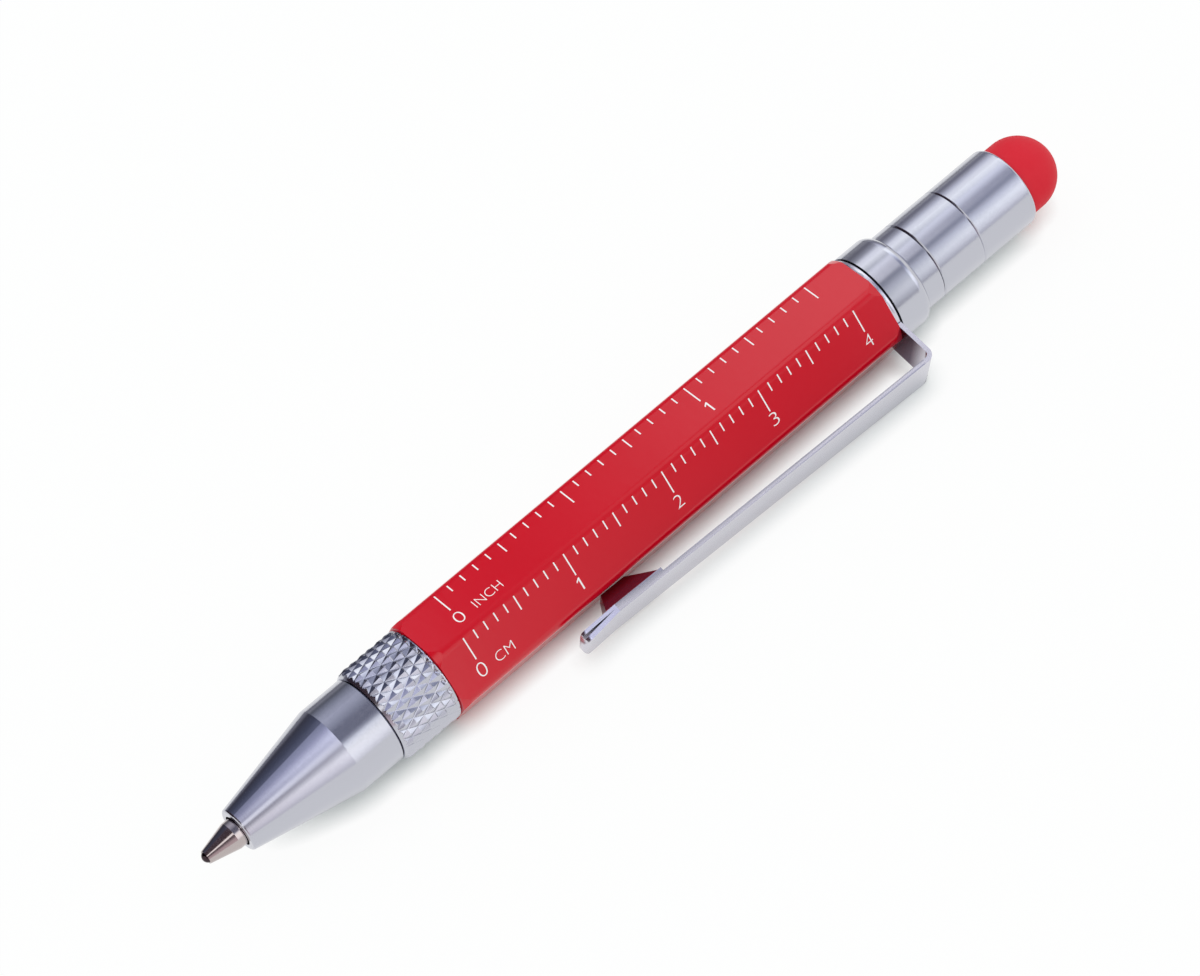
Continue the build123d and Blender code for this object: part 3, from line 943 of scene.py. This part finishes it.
centimetres = ruler(
    "centimetre_strokes",
    {
        "Strokes": 41,
        "First": scale_start,
        "Step": 1 * mm,
        "Edge": 2.132 * mm,
        "Each": 0.774 * mm,
        "Each Fifth": 1.269 * mm,
        "Each Tenth": 1.982 * mm,
        "Each Twentieth": 1.982 * mm,
    },
    figures=(
        ("0", -0.05 * mm, -0.78 * mm, 1.15 * mm, 0.8 * mm),
        ("CM", 2.17 * mm, -0.85 * mm, word_height, 1.73 * mm),
        ("2", 19.98 * mm, -0.66 * mm, figure_height, figure_width),
        ("3", 29.99 * mm, -0.55 * mm, figure_height, figure_width),
        ("4", 39.92 * mm, -0.65 * mm, figure_height, figure_width),
    ),
    one_place=(9.91 * mm, -0.64 * mm),
)
# the inch scale has a stroke for each twentieth of an inch
inches = ruler(
    "inch_strokes",
    {
        "Strokes": 31,
        "First": scale_start + 1.013 * mm,
        "Step": 1.27 * mm,
        "Edge": 1.938 * mm,
        "Each": 0.691 * mm,
        "Each Fifth": 1.074 * mm,
        "Each Tenth": 1.572 * mm,
        "Each Twentieth": 1.883 * mm,
    },
    figures=(
        ("0", 1.02 * mm, -0.89 * mm, figure_height, 0.8 * mm),
        ("INCH", 3.8 * mm, -0.92 * mm, word_height, 2.63 * mm),
    ),
    one_place=(26.44 * mm, -0.86 * mm),
)

# the flats that bear them, by their turn in degrees from the upper one
centimetre_flat, inch_flat = 60, 0
prints = bmesh.new()
for turned, meshes in ((centimetre_flat, centimetres), (inch_flat, inches)):
    for mesh in meshes:
        mesh.transform(flat_place(turned))
        prints.from_mesh(mesh)
bmesh.ops.remove_doubles(prints, verts=prints.verts, dist=same_place)
print_mesh = bpy.data.meshes.new("printed_scale")
prints.to_mesh(print_mesh)
prints.free()
print_mesh.materials.append(printed_ink)
printed_scale = new_piece("printed_scale", print_mesh)
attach(printed_scale, "barrel")


# Clip: the ring, the bend, the arm and the folded tip are one strip with eased edges.
strip = bmesh.new()
for name in ("clip_ring", "clip_arm"):
    strip.from_mesh(frame["nodes"][name].data)
bmesh.ops.remove_doubles(strip, verts=strip.verts, dist=same_place)
bmesh.ops.dissolve_limit(
    strip, angle_limit=math.radians(1), verts=strip.verts, edges=strip.edges
)
arm_low, arm_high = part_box("clip_arm")

# the CAD's two solids end in faces at the split; these go, and the strip is joined there
seam_x = arm_high.x
seam_reach = 0.1 * mm
seam_faces = [
    face
    for face in strip.faces
    if abs(face.normal.x) > 0.99
    and all(abs(v.co.x - seam_x) < seam_reach for v in face.verts)
]
seam_edges = [edge for face in seam_faces for edge in face.edges]
bmesh.ops.delete(strip, geom=seam_faces, context="FACES_ONLY")
bmesh.ops.bridge_loops(strip, edges=seam_edges)

# cuts across the strip, so that it bends in an even curve
bend_end = seam_x - 7 * mm
first_cut = seam_x - 0.3 * mm
bend_cuts = 12
for i in range(bend_cuts + 1):
    bmesh.ops.bisect_plane(
        strip,
        geom=strip.verts[:] + strip.edges[:] + strip.faces[:],
        dist=1e-8,
        plane_co=(first_cut + (bend_end - seam_x) * i / bend_cuts, 0, 0),
        plane_no=(1, 0, 0),
    )
strip_mesh = bpy.data.meshes.new("sprung_clip")
strip.to_mesh(strip_mesh)
strip.free()
strip_mesh.materials.append(finishes["spring_steel"])
blank_clip = new_piece("sprung_clip_blank", strip_mesh)
easing = blank_clip.modifiers.new("eased_edges", "BEVEL")
easing.width = 0.13 * mm
easing.segments = 3
easing.limit_method = "ANGLE"
easing.angle_limit = math.radians(35)
easing.harden_normals = True
eased_mesh = bpy.data.meshes.new_from_object(
    blank_clip.evaluated_get(bpy.context.evaluated_depsgraph_get())
)
bpy.data.objects.remove(blank_clip)
sprung_clip = new_piece("sprung_clip", eased_mesh)
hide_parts("clip_ring", "clip_arm")
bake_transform(sprung_clip)


# Studio: a white floor, one soft lamp high behind the pen, an even room, and a curved
# reflector overhead that only the shiny finishes see


def backdrop_sight(tree):
    """One for the rays that show the backdrop: the camera's, and those in shiny things."""
    sight = add_node(tree, "ShaderNodeLightPath").outputs
    mirrored = add_node(
        tree,
        "ShaderNodeMath",
        {0: sight["Is Glossy Ray"], 1: sight["Is Transmission Ray"]},
        operation="MAXIMUM",
    )
    return add_node(
        tree,
        "ShaderNodeMath",
        {0: sight["Is Camera Ray"], 1: mirrored},
        operation="MAXIMUM",
    ).outputs[0]


floor_mesh = bpy.data.meshes.new("floor")
floor_half = 3.0
corner_signs = ((-1, -1), (1, -1), (1, 1), (-1, 1))
floor_mesh.from_pydata(
    [(x * floor_half, y * floor_half, 0) for x, y in corner_signs],
    [],
    [(0, 1, 2, 3)],
)
floor = new_piece("floor", floor_mesh)
# matt white paper: its shadow is neutral, with a trace of green
paper, tree, shader, _ = new_finish(
    "white_paper", "#F1F8F4", 0.0, 0.9, Specular_IOR_Level=0.0
)
# the backdrop's white fades out close round the pen, where its shadow lies
shadow_reach = 1.9 * mm
shut_in, wide_open, most_white = 0.25, 0.95, 0.93
openness = add_node(
    tree, "ShaderNodeAmbientOcclusion", {"Distance": shadow_reach}, samples=6
)
white_share = add_node(
    tree,
    "ShaderNodeMapRange",
    {"Value": openness.outputs["AO"], 1: shut_in, 2: wide_open, 3: 0.0, 4: most_white},
)
backdrop_share = add_node(
    tree,
    "ShaderNodeMath",
    {0: backdrop_sight(tree), 1: white_share},
    operation="MULTIPLY",
)
white = add_node(tree, "ShaderNodeEmission", {"Strength": 1.0})
paper_look = add_node(
    tree, "ShaderNodeMixShader", {0: backdrop_share, 1: shader, 2: white}
)
tree.links.new(paper_look.outputs[0], tree.nodes["Material Output"].inputs["Surface"])
floor_mesh.materials.append(paper)

reflector_mesh = bpy.data.meshes.new("reflector")
reflector_radius, reflector_half = 0.5, 0.8
ribs = [
    (reflector_radius * math.sin(angle), reflector_radius * math.cos(angle))
    for angle in (math.radians(degrees) for degrees in range(-90, 91, 4))
]
# behind the pen it runs on over the floor, which keeps the far edges of the metal dark
reflector_foot = (30 * mm, 0.5 * mm)
ribs.append(reflector_foot)
reflector_mesh.from_pydata(
    [(x, y, z) for y, z in ribs for x in (-reflector_half, reflector_half)],
    [],
    [(2 * i, 2 * i + 1, 2 * i + 3, 2 * i + 2) for i in range(len(ribs) - 1)],
)
reflector = new_piece("reflector", reflector_mesh)
glow = bpy.data.materials.new("reflector_glow")
glow.use_nodes = True
tree = glow.node_tree
tree.nodes.clear()
place = add_node(tree, "ShaderNodeTexCoord").outputs["Object"]
parts = add_node(tree, "ShaderNodeSeparateXYZ", {"Vector": place})
lean = add_node(
    tree,
    "ShaderNodeMath",
    {0: parts.outputs["Y"], 1: parts.outputs["Z"]},
    operation="ARCTAN2",
)
lean_share = add_node(
    tree,
    "ShaderNodeMapRange",
    {"Value": lean, 1: -math.pi / 2, 2: math.pi / 2},
)

# a ramp's colours end at one, so they are shares of the brightest light
brightest_band = 1.7
chrome_glow = 1.12


def glow_bands(bands, strength=1.0):
    """Light in red, green and blue for each lean in degrees from straight up, to +Y."""
    ramp = add_node(tree, "ShaderNodeValToRGB", {"Fac": lean_share})
    stops = ramp.color_ramp.elements
    while len(stops) < len(bands):
        stops.new(0.5)
    for stop, (degrees, light) in zip(stops, bands):
        stop.position = (degrees + 90) / 180
        stop.color = (*(strength * share / brightest_band for share in light), 1)
    return ramp


# bands for each zone along the pen, named for what mirrors them to the camera
refill_tip_bands = glow_bands(
    [
        (-90, (0.78, 0.64, 0.68)),
        (-66, (0.62, 0.50, 0.54)),
        (-48, (0.16, 0.12, 0.14)),
        (-38, (0.16, 0.12, 0.14)),
        (-34, (1.50, 1.48, 1.48)),
        (-24, (1.50, 1.48, 1.48)),
        (-18, (0.08, 0.05, 0.06)),
        (90, (0.03, 0.02, 0.03)),
    ]
)
nose_cone_bands = glow_bands(
    [
        (-90, (0.66, 0.66, 0.72)),
        (-76, (1.05, 1.05, 1.12)),
        (-58, (1.45, 1.45, 1.50)),
        (-42, (0.70, 0.71, 0.80)),
        (-23, (0.90, 0.92, 1.14)),
        (-6, (1.16, 1.19, 1.45)),
        (12, (0.56, 0.58, 0.80)),
        (32, (0.22, 0.24, 0.35)),
        (50, (0.08, 0.09, 0.14)),
        (80, (0.05, 0.05, 0.07)),
        (90, (0.20, 0.20, 0.24)),
    ],
    strength=chrome_glow,
)
nose_back_bands = glow_bands(
    [
        (-90, (1.00, 1.00, 1.05)),
        (-76, (1.40, 1.40, 1.44)),
        (-56, (1.50, 1.50, 1.50)),
        (-42, (1.30, 1.34, 1.42)),
        (-34, (0.40, 0.42, 0.52)),
        (-26, (0.14, 0.15, 0.22)),
        (-4, (0.12, 0.13, 0.20)),
        (10, (0.34, 0.36, 0.46)),
        (32, (0.66, 0.68, 0.82)),
        (54, (0.40, 0.42, 0.52)),
        (78, (0.12, 0.13, 0.16)),
        (90, (0.34, 0.34, 0.38)),
    ],
    strength=chrome_glow,
)
lacquer_front_bands = glow_bands(
    [
        (-90, (0.55, 0.55, 0.57)),
        (-76, (0.60, 0.60, 0.62)),
        (-66, (0.80, 0.80, 0.82)),
        (-56, (0.24, 0.24, 0.26)),
        (20, (0.22, 0.22, 0.24)),
        (28, (0.03, 0.03, 0.05)),
        (90, (0.03, 0.03, 0.04)),
    ]
)
# the bright band straight overhead is for the clip's upper edge
lacquer_back_bands = glow_bands(
    [
        (-90, (0.14, 0.14, 0.16)),
        (-76, (0.20, 0.20, 0.22)),
        (-66, (0.50, 0.50, 0.53)),
        (-56, (0.28, 0.28, 0.30)),
        (-24, (0.28, 0.28, 0.30)),
        (-16, (1.50, 1.48, 1.50)),
        (10, (1.50, 1.48, 1.50)),
        (18, (0.28, 0.28, 0.30)),
        (22, (0.28, 0.28, 0.30)),
        (28, (1.35, 1.35, 1.44)),
        (45, (1.35, 1.35, 1.44)),
        (56, (0.10, 0.10, 0.12)),
        (90, (0.20, 0.20, 0.22)),
    ]
)
cap_bands = glow_bands(
    [
        (-90, (0.62, 0.62, 0.70)),
        (-78, (1.10, 1.12, 1.20)),
        (-58, (1.40, 1.44, 1.50)),
        (-42, (1.00, 1.04, 1.18)),
        (-26, (0.36, 0.38, 0.50)),
        (-6, (0.36, 0.38, 0.50)),
        (12, (1.00, 1.04, 1.20)),
        (32, (1.46, 1.50, 1.50)),
        (54, (0.84, 0.86, 0.98)),
        (74, (0.24, 0.24, 0.30)),
        (84, (0.24, 0.24, 0.30)),
        (90, (0.60, 0.60, 0.64)),
    ],
    strength=chrome_glow,
)
# each zone passes into the next between these places along X, in metres
bands = refill_tip_bands.outputs[0]
for start, end, next_bands in (
    (-0.15, -0.11, nose_cone_bands),
    (0.035, 0.055, nose_back_bands),
    (0.114, 0.123, lacquer_front_bands),
    (0.130, 0.222, lacquer_back_bands),
    (0.224, 0.238, cap_bands),
):
    share = add_node(
        tree,
        "ShaderNodeMapRange",
        {"Value": parts.outputs["X"], 1: start, 2: end},
        interpolation_type="SMOOTHSTEP",
    )
    bands = add_node(
        tree,
        "ShaderNodeMix",
        {0: share, 6: bands, 7: next_bands},
        data_type="RGBA",
    ).outputs[2]
glow_light = add_node(
    tree, "ShaderNodeEmission", {"Color": bands, "Strength": brightest_band}
)
add_node(tree, "ShaderNodeOutputMaterial", {"Surface": glow_light})
reflector_mesh.materials.append(glow)
for sight in ("camera", "diffuse", "transmission", "volume_scatter", "shadow"):
    setattr(reflector, "visible_" + sight, False)


# a square lamp of 0.4 m and half a watt, high behind the pen, that shines at its middle
light = bpy.data.lights.new("soft_lamp", "AREA")
light.size = 0.4
light.energy = 0.5
lamp = bpy.data.objects.new("soft_lamp", light)
bpy.context.scene.collection.objects.link(lamp)
lamp.location = (0.10, 0.30, 0.66)
to_pen = Vector((0, 0, axis_height)) - lamp.location
lamp.rotation_euler = to_pen.to_track_quat("-Z", "Y").to_euler()
lamp.visible_camera = False
lamp.visible_glossy = False

# the room's even light, a little below the white that the backdrop shows
room_grey = (0.92, 0.92, 0.93, 1)
room = bpy.data.worlds.new("studio_room")
bpy.context.scene.world = room
room.use_nodes = True
tree = room.node_tree
tree.nodes.clear()
seen = backdrop_sight(tree)
room_light = add_node(
    tree,
    "ShaderNodeMix",
    {0: seen, 6: room_grey, 7: (1, 1, 1, 1)},
    data_type="RGBA",
)
backdrop = add_node(
    tree, "ShaderNodeBackground", {"Color": room_light.outputs[2], "Strength": 1.0}
)
add_node(tree, "ShaderNodeOutputWorld", {"Surface": backdrop})

# Camera: place, turn and lens were fitted to the ticks of the photograph's scales
lens = bpy.data.cameras.new("camera")
lens.sensor_fit = "HORIZONTAL"
lens.sensor_width = 36
lens.lens = 143.02
camera = bpy.data.objects.new("camera", lens)
bpy.context.scene.collection.objects.link(camera)
camera.location = (-0.11640, -0.19146, 0.28361)
camera.rotation_euler = [math.radians(turned) for turned in (37.823, 9.569, -42.487)]
bpy.context.scene.camera = camera
bpy.context.scene.view_settings.view_transform = "Standard"
